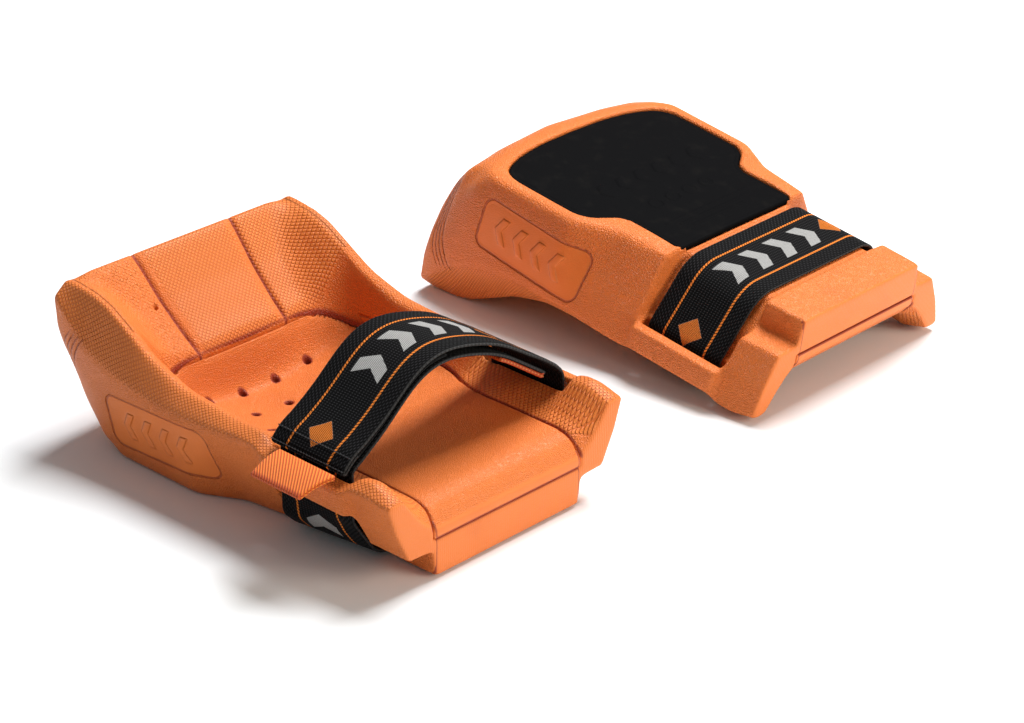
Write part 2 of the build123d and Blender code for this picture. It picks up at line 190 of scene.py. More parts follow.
CAMERA_FROM_PAD = (-934.3, -1003.4, 745.1)
CAMERA_AZIMUTH, CAMERA_ELEVATION, CAMERA_ROLL = -46.592, 26.710, 0.708
CAMERA_LENS = 107.935


# ---- numbers -------------------------------------------------------------------------------------
def track(points, y, spread=2.5):
    """A track's value at each y, with its corners eased over a few millimetres."""
    where, value = zip(*points)
    offsets = np.linspace(-1.5, 1.5, 7)
    weights = np.exp(-offsets ** 2)
    eased = sum(w * np.interp(y + o * spread, where, value) for o, w in zip(offsets, weights))
    return eased / weights.sum()


def smoothstep(low, high, value):
    t = np.clip((value - low) / (high - low), 0, 1)
    return t * t * (3 - 2 * t)


def bell(distance, width):
    return np.exp(-(distance / width) ** 2)


def curve(points, parts=8):
    """A smooth open line through its points (Catmull-Rom)."""
    p = np.array(points, float)
    p = np.vstack([2 * p[0] - p[1], p, 2 * p[-1] - p[-2]])
    t = np.linspace(0, 1, parts, endpoint=False)[:, None]
    spans = []
    for a, b, c, d in zip(p, p[1:], p[2:], p[3:]):
        spans.append(b + 0.5 * t * (c - a + t * (2 * a - 5 * b + 4 * c - d + t * (3 * (b - c) + d - a))))
    return np.vstack(spans + [p[-2:-1]])


def signed_distance(u, v, line):
    """Distance from points (u, v) to an open line that starts and ends on u = 0, negative inside."""
    a, b = line[:-1, :, None], line[1:, :, None]
    step = b - a
    size = np.maximum((step ** 2).sum(1), 1e-9)
    t = np.clip(((u - a[:, 0]) * step[:, 0] + (v - a[:, 1]) * step[:, 1]) / size, 0, 1)
    distance = np.sqrt(((u - a[:, 0] - t * step[:, 0]) ** 2 + (v - a[:, 1] - t * step[:, 1]) ** 2).min(0))
    spans = (a[:, 1] > v) != (b[:, 1] > v)
    rise = np.where(np.abs(step[:, 1]) < 1e-9, 1e-9, step[:, 1])
    crossing = a[:, 0] + (v - a[:, 1]) / rise * step[:, 0]
    inside = (spans & (u < crossing)).sum(0) % 2 == 1
    return np.where(inside, -distance, distance)


def outline_distance(x, y, outline):
    """Signed distance to the right half of an outline seen from above, on a grid."""
    return signed_distance(x.ravel(), y.ravel(), outline).reshape(x.shape)


def blur(field, sigma):
    """Gaussian blur in grid cells. The field is one half of a symmetric one, cut at its low x side."""
    reach = int(2.6 * sigma) + 1
    weights = np.exp(-0.5 * (np.arange(-reach, reach + 1) / sigma) ** 2)
    weights /= weights.sum()
    for axis in range(3):
        margin = [(0, 0)] * 3
        margin[axis] = (reach, reach)
        wide = np.pad(field, margin, mode="symmetric" if axis == 0 else "edge")
        size = field.shape[axis]
        field = sum(w * wide.take(range(k, k + size), axis) for k, w in enumerate(weights))
    return field


def surface_points(field, origin, pitch):
    """A point in each grid cell that the field's zero crosses, and each cell's point number or -1."""
    cells = tuple(n - 1 for n in field.shape)
    inside = field < 0
    total = [np.zeros(cells, np.float32) for _ in range(3)]
    count = np.zeros(cells, np.int16)
    for axis in range(3):
        others = [k for k in range(3) if k != axis]
        for da in (0, 1):
            for db in (0, 1):
                low = [slice(0, n) for n in cells]
                low[others[0]] = slice(da, cells[others[0]] + da)
                low[others[1]] = slice(db, cells[others[1]] + db)
                high = list(low)
                high[axis] = slice(1, cells[axis] + 1)
                low, high = tuple(low), tuple(high)
                crossed = inside[low] != inside[high]
                gap = np.where(crossed, field[low] - field[high], 1)
                total[axis] += np.where(crossed, field[low] / gap, 0)
                total[others[0]] += crossed * da
                total[others[1]] += crossed * db
                count += crossed
    used = count > 0
    number = np.full(cells, -1, np.int64)
    number[used] = np.arange(used.sum())
    index = np.argwhere(used)
    shift = np.stack([t[used] / count[used] for t in total], 1)
    return np.array(origin) + pitch * (index + shift), number


def surface_quads(field, number):
    """A quad round each grid edge that the field's zero crosses."""
    cells = number.shape
    inside = field < 0
    quads = []
    for axis in range(3):
        u, v = (axis + 1) % 3, (axis + 2) % 3
        low = [slice(1, n) for n in cells]
        low[axis] = slice(0, cells[axis])
        high = list(low)
        high[axis] = slice(1, cells[axis] + 1)
        low, high = tuple(low), tuple(high)
        at = np.argwhere(inside[low] != inside[high])
        at[:, u] += 1
        at[:, v] += 1
        out = inside[tuple(at.T)]
        ring = []
        for du, dv in ((1, 1), (0, 1), (0, 0), (1, 0)):
            corner = at.copy()
            corner[:, u] -= du
            corner[:, v] -= dv
            ring.append(number[tuple(corner.T)])
        ring = np.stack(ring, 1)
        quads.append(np.where(out[:, None], ring, ring[:, ::-1]))
    return np.vstack(quads)


def relaxed(points, quads, rounds=2):
    """Evens out the points along the surface without shrinking it much."""
    for factor in (0.5, -0.45) * (rounds // 2):
        around = np.zeros_like(points)
        count = np.zeros(len(points))
        for k in range(4):
            a, b = quads[:, k], quads[:, (k + 1) % 4]
            for axis in range(3):
                around[:, axis] += np.bincount(a, points[b, axis], len(points))
                around[:, axis] += np.bincount(b, points[a, axis], len(points))
            count += np.bincount(a, minlength=len(points)) + np.bincount(b, minlength=len(points))
        points = points + factor * (around / count[:, None] - points)
    return points


def surface(field, origin, pitch):
    """The closed surface where a field crosses zero, as points and quads (surface nets)."""
    points, number = surface_points(field, origin, pitch)
    quads = surface_quads(field, number)
    return relaxed(points, quads), quads


# ---- places and meshes ---------------------------------------------------------------------------
def upright_place():
    """From the standing pad's own frame (metres) to the row frame."""
    low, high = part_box("upright_shell")
    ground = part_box("upright_sole")[0].z
    return Matrix.Translation(((low.x + high.x) / 2, (low.y + high.y) / 2, ground))


def inverted_place(upright):
    """The same for the pad that lies sole up: its y axis is its strap's hinge axis."""
    axis = next(j["axis"] for j in frame["joints"] if j["name"] == "inverted_outer_flap_open")
    forward = Vector(axis).normalized()
    across = Vector((-forward.y, forward.x, 0)).normalized()
    turn = Matrix((across, forward, across.cross(forward))).transposed().to_4x4()
    back = upright.inverted()
    turned = np.array([turn @ (back @ v.co) for v in frame["nodes"]["upright_shell"].data.vertices])
    low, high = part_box("inverted_shell")
    middle = Vector((turned.min(0) + turned.max(0)) / 2)
    return Matrix.Translation((low + high) / 2 - middle) @ turn


PLACES = {"upright": upright_place()}
PLACES["inverted"] = inverted_place(PLACES["upright"])


def placed(pad, point):
    """A point of a pad, in millimetres in its own frame, in the row frame."""
    return PLACES[pad] @ (Vector(point) * MM)


def add_piece(name, points, faces, pad, material, body, replaces, attributes=None):
    """One mesh of a pad from points in the pad's own frame, placed, riding on its body."""
    place = np.array(PLACES[pad])
    world = (points * MM) @ place[:3, :3].T + place[:3, 3]
    mesh = bpy.data.meshes.new(name)
    mesh.from_pydata(world, [], faces)
    mesh.validate()
    mesh.shade_smooth()
    for key, values in {"pad": points, **(attributes or {})}.items():
        kind = "FLOAT_VECTOR" if values.ndim == 2 else "FLOAT"
        field = "vector" if values.ndim == 2 else "value"
        layer = mesh.attributes.new(key, kind, "POINT")
        layer.data.foreach_set(field, values.astype(np.float32).ravel())
    piece = bpy.data.objects.new(name, mesh)
    bpy.context.scene.collection.objects.link(piece)
    mesh.materials.append(material)
    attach(piece, body)
    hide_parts(*replaces)
    return piece


# ---- the foam body -------------------------------------------------------------------------------
def floor_z(x, y, edge):
    """Top of the cushion: a trough that curls up along its knee end, edge being the distance inside it."""
    base = track(FLOOR_Z, y) + track(TROUGH, y) * x * x
    curl = np.interp(edge, [0, 1.8, 3.2, 5, 7.5, 10], [1, 0.96, 0.64, 0.34, 0.1, 0])
    height = 26.4 * np.clip(1 - (np.abs(x) / 65.5) ** 3.2, 0, 1)
    return base + height * curl * smoothstep(40, 58, y)


def wall_points(y):
    """The underside and outer wall at y, from the centre line up to the rim's outer edge."""
    rows = np.array([[row[1], *row[2], *row[3], *row[4], *row[5]] for row in UNDERSIDE])
    at = [np.interp(y, [row[0] for row in UNDERSIDE], rows[:, k]) for k in range(rows.shape[1])]
    wall = [(0, at[0])] + [(at[1 + 2 * k], at[2 + 2 * k]) for k in range(4)]
    return wall + [(track(RIM_EDGE_X, y), track(RIM_EDGE_Z, y))]


def cup_points(y, outline):
    """From the rim's crest down into the cup and across to the centre line."""
    crest = float(track(CREST_Z, y))
    inner = crest - float(track(RIM_INNER_DROP, y))
    edge_x = float(track(CUP_EDGE_X, y))
    points = [(CREST_X, crest), (RIM_INNER_X, inner)]
    xs = edge_x * np.array([1, 0.93, 0.85, 0.75, 0.65, 0.55, 0.45, 0.3, 0.15, 0])
    if y > 70:
        heights = np.full(len(xs), float(track(KNEE_WALL_Z, y, 1.0)))
    else:
        inside = -signed_distance(xs, np.full(len(xs), y), outline)
        heights = floor_z(xs, y, np.maximum(inside, 0))
    for share in (0.66, 0.33):
        x = edge_x + (RIM_INNER_X - edge_x) * share
        points.append((x, heights[0] + (inner - heights[0]) * share ** 1.4))
    return points + list(zip(xs, heights))


def body_grid():
    x = GRID * (np.arange(HALF_GRID_CELLS) + 0.5)
    y = np.arange(-PAD_END - 4, PAD_END + 4, GRID)
    z = np.arange(*GRID_Z, GRID)
    return x, y, z


def solid_body(x, y, z, outline):
    """The pad with its cushion as one smooth solid: a field, negative inside, for the half with x > 0."""
    u, v = (a.ravel() for a in np.meshgrid(x, z, indexing="ij"))
    field = np.empty((len(x), len(y), len(z)))
    for k, at in enumerate(np.clip(y, -PAD_END, PAD_END)):
        line = np.array(wall_points(at) + cup_points(at, outline), float)
        field[:, k] = signed_distance(u, v, line).reshape(len(x), len(z))
    field = np.maximum(field, np.abs(y)[None, :, None] - PAD_END)
    field = np.clip(field, -14, 14)
    crisp, soft = blur(field, 0.8) - 0.15, blur(field, 2.4) - 0.9
    yy, zz = y[None, :, None], z[None, None, :]
    weight = smoothstep(-30, -14, yy) * smoothstep(72, 56, zz)
    return crisp + (soft - crisp) * weight


def panel_relief(x, y, z):
    """Swelling and seams of the padded knee wall, as a height to add."""
    seam = np.interp(y, *zip(*SEAM_X))
    on_wall = smoothstep(70.5, 74, y) * smoothstep(36, 44, z) * smoothstep(118.5, 114, y)
    away = np.abs(np.abs(x) - seam)
    swell = PUFF * (1 - np.exp(-away / 5.0)) * smoothstep(72, 62, np.abs(x))
    return on_wall * (swell - SEAM_DEPTH * bell(away, SEAM_WIDTH))


def rib_distance(y, z):
    """Distance to the nearest of the curved grip grooves round the corners of the knee end."""
    nearest = FAR
    for far_y, bow_z, below, above in RIBS:
        flatness = np.where(z < bow_z, below, above)
        nearest = np.minimum(nearest, np.abs(y - far_y + (z - bow_z) ** 2 / flatness))
    return nearest


def rib_field(x, z):
    """Where on the outer wall the grip grooves are."""
    return smoothstep(10, 18, z) * smoothstep(68, 62, z) * smoothstep(62, 68, x)


def badge_distance(y, z):
    """Signed distance to the plate moulded into each outer wall."""
    z = z + BADGE_TILT * (y - sum(BADGE_Y) / 2)
    lean = (BADGE_Z[1] - z) * 0.08
    half_y = (BADGE_Y[1] - BADGE_Y[0]) / 2 - BADGE_CORNER
    half_z = (BADGE_Z[1] - BADGE_Z[0]) / 2 - BADGE_CORNER
    dy = np.abs(y - sum(BADGE_Y) / 2 + lean) - half_y
    dz = np.abs(z - sum(BADGE_Z) / 2) - half_z
    outside = np.hypot(np.maximum(dy, 0), np.maximum(dz, 0))
    return outside + np.minimum(np.maximum(dy, dz), 0) - BADGE_CORNER


def chevron_distance(y, z, middle, half_height, stroke):
    """Distance to one plain chevron."""
    return np.maximum(np.abs(y - middle + np.abs(z) * 0.6) * 0.85 - stroke / 2, np.abs(z) - half_height)


def device_distance(y, z):
    """Distance to the row of generic chevrons on the plate."""
    middle_z = z - sum(BADGE_Z) / 2 + BADGE_TILT * (y - sum(BADGE_Y) / 2)
    rows = [chevron_distance(y, middle_z, 27 + 13.5 * k, 7.5, 4.0) for k in range(4)]
    return np.minimum(np.minimum(rows[0], rows[1]), np.minimum(rows[2], rows[3]))


def badge_relief(y, z):
    """The plate lies a little below the wall, with plain chevrons standing proud of it."""
    relief = -0.5 * smoothstep(0.6, -0.6, badge_distance(y, z))
    return relief + 0.6 * smoothstep(0.6, -0.6, device_distance(y, z))


def carved_body(field, x, y, z):
    """Adds the relief that is moulded into the foam's outer and upper faces."""
    xx, yy, zz = x[:, None, None], y[None, :, None], z[None, None, :]
    field = field - panel_relief(xx, yy, zz)
    field = field + RIB_DEPTH * bell(rib_distance(yy, zz), 0.95) * rib_field(xx, zz)
    on_wall = smoothstep(66, 70, xx)
    return field - on_wall * badge_relief(yy[0], zz[0])[None]


def box_distance(p, low, high):
    """Field of a box from grid axes, negative inside."""
    parts = [np.maximum(low[k] - p[k], p[k] - high[k]) for k in range(3)]
    return np.maximum(np.maximum(parts[0], parts[1]), parts[2])


def mirrored_field(field):
    return np.concatenate([field[::-1], field])


def vents():
    """Middles (x, y) of the cushion's blind holes."""
    return [((k - (count - 1) / 2) * VENT_PITCH, y) for y, count in VENT_ROWS for k in range(count)]


def with_vents(cushion, flat, zz):
    for vent_x, vent_y in vents():
        if vent_x > -VENT_RADIUS:
            around = np.hypot(flat[0] - vent_x, flat[1] - vent_y) - VENT_RADIUS
            base = floor_z(vent_x, vent_y, 9.0) - VENT_DEPTH
            cushion = np.maximum(cushion, -np.maximum(around[:, :, None], base - zz))
    return cushion


def with_slots_and_recess(shell, flat, axes):
    """Cuts the strap slots through the rim and the sole's recess into the underside."""
    shell = np.maximum(shell, -box_distance(axes, (SLOT_X[0], SLOT_Y[0], 20), (SLOT_X[1], SLOT_Y[1], 90)))
    sole = outline_distance(*flat, curve(SOLE_OUTLINE))
    under = np.maximum(sole[:, :, None] - SOLE_GAP, axes[2] - SOLE_THICKNESS - SOLE_GAP)
    return np.maximum(shell, -under)


def with_hole(shell, x, yy, zz):
    """Cuts the blind hole, which only one side has, into the mirrored shell."""
    full_x = np.concatenate([-x[::-1], x])[:, None, None]
    around = np.hypot(full_x - HOLE[0], yy - HOLE[1]) - HOLE_RADIUS
    return np.maximum(shell, -np.maximum(around, HOLE[2] - HOLE_DEPTH - zz))


def make_body_surfaces():
    """Points and quads of the foam body and of the cushion, in the pad's own frame."""
    x, y, z = body_grid()
    outline = curve(CUSHION_OUTLINE)
    solid = carved_body(solid_body(x, y, z, outline), x, y, z)
    axes = x[:, None, None], y[None, :, None], z[None, None, :]
    zz = axes[2]
    flat = np.meshgrid(x, y, indexing="ij")
    region = outline_distance(*flat, outline)
    rim = floor_z(flat[0], flat[1], 0.0)
    groove = bell(region, 0.9)[:, :, None] * bell((zz - rim[:, :, None]) * (zz < rim[:, :, None]), 1.5)
    solid = solid + 0.6 * groove
    inside = np.maximum(-region, 0)
    bed = floor_z(flat[0], flat[1], inside + BED_INSET) - CUSHION_THICKNESS
    bed = np.minimum(bed, np.where(flat[1] < -PAD_END + LIP_DEPTH, FRONT_LIP_Z, FAR))
    recess = np.maximum(region[:, :, None], bed[:, :, None] - zz)
    cushion = with_vents(np.maximum(solid, recess + CUSHION_GAP), flat, zz)
    shell = mirrored_field(with_slots_and_recess(np.maximum(solid, -recess), flat, axes))
    shell = with_hole(shell, x, axes[1], zz)
    origin = (-x[-1], y[0], z[0])
    return surface(shell, origin, GRID), surface(mirrored_field(cushion), origin, GRID)


def joint_distance(points):
    """How far a point of the foam is from the line where cushion and shell meet."""
    x, y, z = np.abs(points[:, 0]), points[:, 1], points[:, 2]
    region = signed_distance(x, y, curve(CUSHION_OUTLINE))
    low = np.minimum(z - floor_z(x, y, 0.0), 0)
    on_front = (y < -PAD_END + 2.5) & (x < 50)
    front = np.where(on_front, np.minimum(np.abs(z - FRONT_LIP_Z), np.abs(x - 50)), FAR)
    return np.minimum(np.where(z > FRONT_LIP_Z - 1, np.hypot(region, low), FAR), front)


def body_masks(points):
    """Where the foam has its knurl and its plain end, and distances to its joint and seam lines (where
    painted shade goes), plate and chevrons.
    """
    x, y, z = np.abs(points[:, 0]), points[:, 1], points[:, 2]
    edge_z = track(RIM_EDGE_Z, y)
    edge_x = track(RIM_EDGE_X, y)
    seam = np.interp(y, *zip(*SEAM_X))
    upper = smoothstep(edge_z - 0.6, edge_z + 0.8, z + 0.7 * (edge_x - x).clip(0, 20) * (y < 95))
    band = smoothstep(73.2, 74.6, x) * upper
    shin = smoothstep(-24, -36, y) * smoothstep(49, 51, x) * smoothstep(34, 36, z) * upper
    on_panels = smoothstep(-4, -2, z - track(KNEE_WALL_Z, y, 1.0))
    panels = smoothstep(70, 71.5, y) * smoothstep(38, 44, z) * smoothstep(117.5, 115.5, y) * on_panels
    panels = panels * smoothstep(75.5, 73.5, x)
    strip = smoothstep(6.0, 4.0, seam - x) * (x < seam)
    panels = panels * (1 - strip) * np.where((points[:, 0] < 0) & (x > seam), 0.3, 1.0)
    knurl = np.clip(np.maximum(np.maximum(band, shin), panels), 0, 1)
    on_seam = (y > 70.5) & (z > 40) & (y < 118)
    # distance for the painted shade along the cushion's joint and the panel seams
    line = np.minimum(joint_distance(points), np.where(on_seam, np.abs(x - seam), FAR))
    on_wall = (x > 66) & (z < edge_z - 2)
    end = smoothstep(-117.8, -118.4, y)
    return {
        "knurl": knurl * (1 - end),
        "line": line.clip(0, 9),
        "plate": np.where(on_wall, badge_distance(y, z), 9).clip(-9, 9),
        "device": np.where(on_wall, device_distance(y, z), 9).clip(-9, 9),
        "end": end,
    }


def cushion_masks(points):
    """Distance to the cushion's edge or nearest vent, where painted shade goes, and where it has its plain
    end.
    """
    x, y = points[:, 0], points[:, 1]
    line = joint_distance(points)
    for vent_x, vent_y in vents():
        line = np.minimum(line, np.maximum(np.hypot(x - vent_x, y - vent_y) - VENT_RADIUS, 0))
    return {"line": line.clip(0, 9), "end": smoothstep(-117.8, -118.4, y)}


# ---- the sole ------------------------------------------------------------------------------------
def sole_relief(x, y):
    """Generic raised marks: a row of chevrons, a dotted field and fine bars near the shin end."""
    height = np.zeros(np.broadcast(x, y).shape)
    for k in range(6):
        away = chevron_distance(x, y - 33, -38 + 15 * k, 7, 4.5)
        height = np.maximum(height, smoothstep(0.5, -0.5, away))
    for k in range(4):
        away = np.hypot(x - (-21 + 14 * k), y - 8) - 4.2
        height = np.maximum(height, smoothstep(0.5, -0.5, np.abs(away) - 0.8))
    for k in range(3):
        bar = np.maximum(np.abs(y + 10 + 4.5 * k) - 0.8, np.abs(x) - (34 - 6 * k))
        height = np.maximum(height, smoothstep(0.5, -0.5, bar))
    return height


def make_sole_surface():
    x = np.arange(-70.0, 70.5, SOLE_GRID)
    y = np.arange(-34.0, 96.0, SOLE_GRID)
    z = np.arange(-1.6, SOLE_THICKNESS + 1.7, SOLE_GRID / 2)
    xx, yy = np.meshgrid(x, y, indexing="ij")
    edge = outline_distance(np.abs(xx), yy, curve(SOLE_OUTLINE))
    border = 0.35 * bell(edge + 3.0, 0.7)
    bottom = RELIEF * (1 - sole_relief(xx, yy)) + border
    bottom = bottom + 1.2 * smoothstep(-1.6, 0.2, edge) ** 2
    field = np.maximum(bottom[:, :, None] - z, z - SOLE_THICKNESS)
    field = np.maximum(field, edge[:, :, None])
    points, quads = surface(field, (0, 0, 0), 1.0)
    points = points * (SOLE_GRID, SOLE_GRID, SOLE_GRID / 2) + (x[0], y[0], z[0])
    return points, quads


# ---- webbing -------------------------------------------------------------------------------------
class Arch:
    """The closed strap as arcs on one centre, through three points of the outer flap's middle."""

    def __init__(self, far, top, end, slack):
        """slack: 1 where the webbing stands up with straight flanks, 0 where it lies flat."""
        (ax, az), (bx, bz), (cx, cz) = far, top, end
        self.slack = slack
        d = 2 * (ax * (bz - cz) + bx * (cz - az) + cx * (az - bz))
        a, b, c = ax * ax + az * az, bx * bx + bz * bz, cx * cx + cz * cz
        self.x = (a * (bz - cz) + b * (cz - az) + c * (az - bz)) / d
        self.z = (a * (cx - bx) + b * (ax - cx) + c * (bx - ax)) / d
        self.radius = math.hypot(ax - self.x, az - self.z)
        self.inner = self.radius - LAYER_PITCH
        self.far, self.near = self.angle(far), self.angle(end)
        self.far_pivot = far
        self.near_pivot = (-FLAP_PIVOT_X, self.z + math.sqrt(self.inner ** 2 - (-FLAP_PIVOT_X - self.x) ** 2))
        self.inner_near = self.angle(self.near_pivot)

    def angle(self, point):
        return math.degrees(math.atan2(point[1] - self.z, point[0] - self.x))

    def turn(self, length):
        return math.degrees(length / self.radius)

    def flap_start(self):
        """Length along the outer flap's webbing where it leaves its slot's fold, 0 being its free end."""
        return FOLD_REACH - math.radians(self.near - self.far) * self.radius

    def line(self, radius, start, end, step=STEP):
        """Points (x, z) along an arc between two angles in degrees."""
        count = max(3, int(abs(math.radians(end - start)) * radius / step) + 1)
        t = np.radians(np.linspace(start, end, count))
        x = self.x + radius * np.cos(t)
        peak = ARCH_PEAK * bell(x + 19, 30)
        near_flank = ARCH_NEAR_DIP * bell(x + 53, 20) * smoothstep(-79, -64, x)
        far_flank = ARCH_FAR_DIP * bell(x - 48, 17) * smoothstep(72, 62, x)
        z = self.z + radius * np.sin(t) + self.slack * (peak - near_flank - far_flank)
        return np.stack([x, z], 1)


def rounded_path(corners, radii, step=STEP):
    """Points along straight runs joined by arcs of the given radii."""
    p = np.array(corners, float)
    out = [p[0]]
    for a, b, c, radius in zip(p, p[1:], p[2:], radii):
        u, v = (a - b) / np.linalg.norm(a - b), (c - b) / np.linalg.norm(c - b)
        half = math.acos(np.clip(u @ v, -1, 1)) / 2
        reach = radius / math.tan(half)
        centre = b + (u + v) / np.linalg.norm(u + v) * radius / math.sin(half)
        start, end = b + u * reach - centre, b + v * reach - centre
        total = math.pi - 2 * half
        count = max(4, int(total * radius / step) + 1)
        for t in np.linspace(0, 1, count):
            ray = start * math.sin((1 - t) * total) + end * math.sin(t * total)
            out.append(centre + ray / math.sin(total))
    out.append(p[-1])
    return respaced(np.array(out), step)


def respaced(points, step=STEP, count=None):
    """The same line with evenly spaced points."""
    length = np.concatenate([[0], np.cumsum(np.linalg.norm(np.diff(points, axis=0), axis=1))])
    at = np.linspace(0, length[-1], count or max(3, int(length[-1] / step) + 1))
    return np.stack([np.interp(at, length, points[:, k]) for k in range(2)], 1)


def strip_ring(across, inset):
    """A band's cross-section: shares of its width and its sides, from the outer face round."""
    face = inset + np.linspace(0, 1, across) * (1 - 2 * inset)
    ring = [(s, 1.0) for s in face] + [(1 - inset * 0.3, 0.6), (1.0, 0.0), (1 - inset * 0.3, -0.6)]
    ring += [(s, -1.0) for s in face[::-1]] + [(inset * 0.3, -0.6), (0.0, 0.0), (inset * 0.3, 0.6)]
    return np.array([r[0] for r in ring]), np.array([r[1] for r in ring])


def end_faces(first, across, flip):
    """Faces that close one end of a band, whose ring of points starts at number first."""
    last, under = across - 1, 2 * across + 2
    cells = [(k, k + 1, under - 1 - k, under - k) for k in range(across - 1)]
    tips = [
        (last, across, across + 1),
        (last, across + 1, across + 3),
        (across + 1, across + 2, across + 3),
        (0, under, under + 2),
        (under, under + 1, under + 2),
        (0, under + 2, under + 3),
    ]
    faces = [[first + k for k in corners] for corners in cells + tips]
    return [face[::-1] for face in faces] if flip else faces


def strip_mesh(line, thickness, y_low, y_high, start_length=0.0, across=26, knee_side=None):
    """A closed band of webbing that follows a line (x, z), with round selvedges.

    y_low and y_high are numbers or one value for each point of the line. knee_side, if given, is the
    line that the edge at y_high follows. Returns points, faces and the "strap" attribute: length along,
    distance from the middle, and side (1 is the outer face)."""
    n = len(line)
    tangent = np.gradient(line, axis=0)
    tangent /= np.linalg.norm(tangent, axis=1)[:, None]
    normal = np.stack([tangent[:, 1], -tangent[:, 0]], 1)
    length = start_length + np.concatenate([[0], np.cumsum(np.linalg.norm(np.diff(line, axis=0), axis=1))])
    low, high = np.broadcast_to(y_low, n), np.broadcast_to(y_high, n)
    half = thickness / 2
    w, h = strip_ring(across, half / STRAP_WIDTH)
    m = len(w)
    skew = np.zeros_like(line) if knee_side is None else knee_side - line
    offset = h[None] * half
    x = line[:, None, 0] + skew[:, None, 0] * w + normal[:, None, 0] * offset
    z = line[:, None, 1] + skew[:, None, 1] * w + normal[:, None, 1] * offset
    y = low[:, None] + (high - low)[:, None] * w[None]
    points = np.stack([x, y, z], 2).reshape(-1, 3)
    i, j = (a.ravel() for a in np.meshgrid(np.arange(n - 1), np.arange(m), indexing="ij"))
    after = (j + 1) % m
    quads = np.stack([i * m + after, (i + 1) * m + after, (i + 1) * m + j, i * m + j], 1)
    caps = end_faces(0, across, True) + end_faces((n - 1) * m, across, False)
    strap = np.stack([np.repeat(length, m), np.tile((w - 0.5) * STRAP_WIDTH, n), np.tile(h, n)], 1)
    return points, [list(map(int, q)) for q in quads] + caps, strap


def webbing(name, pad, line, thickness, body, replaces, material, slot="webbing", y=None, start=0.0, **shape):
    """A piece made of one band, riding on its body."""
    low, high = y or STRAP_EDGES
    points, faces, strap = strip_mesh(line, thickness, low, high, start, **shape)
    return add_piece(f"{pad}_{name}", points, faces, pad, material, body, replaces, {"strap": strap})


def bend(piece, a, b, pad, start, end):
    """Takes a piece off its body and bakes its placement into its mesh; the two bodies and the two points are
    not used.
    """
    piece.parent = None
    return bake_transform(piece)


def hairpin(line, gap, back_length, step=0.4):
    """A line that goes on round a half turn and back along itself, on its inner side."""
    tangent = (line[-1] - line[-2]) / np.linalg.norm(line[-1] - line[-2])
    normal = np.array([-tangent[1], tangent[0]])
    turn = np.linspace(0, math.pi, max(5, int(gap * 1.6 / step)))[1:]
    half = [line[-1] + normal * gap / 2 * (1 - math.cos(t)) + tangent * gap / 2 * math.sin(t) for t in turn]
    away = np.gradient(line, axis=0)
    away /= np.linalg.norm(away, axis=1)[:, None]
    inside = line + gap * np.stack([-away[:, 1], away[:, 0]], 1)
    length = np.cumsum(np.linalg.norm(np.diff(line[::-1], axis=0), axis=1))
    back = inside[::-1][1:][length <= back_length]
    return np.vstack([half, back])


def make_lower_run(pad, arch, material):
    """Webbing from one slot to the other under the pad, in its channel."""
    near, far = arch.near_pivot, arch.far_pivot
    top, end = (near[0], near[1] - FOLD_DROP), (far[0], far[1] - FOLD_DROP)
    paths = [[top, *corners, *RUN_FAR_CORNERS, end] for corners in NEAR_CORNERS[pad]]
    shin_side, knee_side = (rounded_path(path, RUN_RADII) for path in paths)
    webbing("lower_run_webbing", pad, shin_side, STRAP_THICKNESS, f"{pad}_pad", [f"{pad}_strap_lower_run"],
            material, start=RUN_START[pad], knee_side=respaced(knee_side, count=len(shin_side)))


def make_slot_folds(pad, arch, material):
    """Where the webbing comes out of the slots and turns into the flaps."""
    start = arch.flap_start() - FOLD_REACH - FOLD_DROP
    far_end = arch.far + arch.turn(FOLD_REACH)
    arc = arch.line(arch.radius, arch.far, far_end, 0.6)
    base = np.array([(arch.far_pivot[0], arch.far_pivot[1] - FOLD_DROP)])
    line = respaced(smoothed(np.vstack([base, arc[1:]])), 0.5)
    far = webbing("far_slot_fold", pad, line, STRAP_THICKNESS, f"{pad}_pad", [], material, start=start)
    bend(far, f"{pad}_pad", f"{pad}_outer_flap", pad, line[0], line[-1])
    near_end = arch.inner_near - arch.turn(FOLD_REACH)
    arc = arch.line(arch.inner, near_end, arch.inner_near, 0.6)
    base = np.array([(arch.near_pivot[0], arch.near_pivot[1] - FOLD_DROP)])
    line = respaced(smoothed(np.vstack([arc[:-1], base])), 0.5)
    near = webbing("near_slot_fold", pad, line, STRAP_THICKNESS, f"{pad}_pad", [], material)
    bend(near, f"{pad}_pad", f"{pad}_inner_flap", pad, line[-1], line[0])


def smoothed(line, rounds=6):
    """Rounds the corners of a line off, its ends held."""
    line = line.copy()
    for _ in range(rounds):
        line[1:-1] = (line[:-2] + 2 * line[1:-1] + line[2:]) / 4
    return line


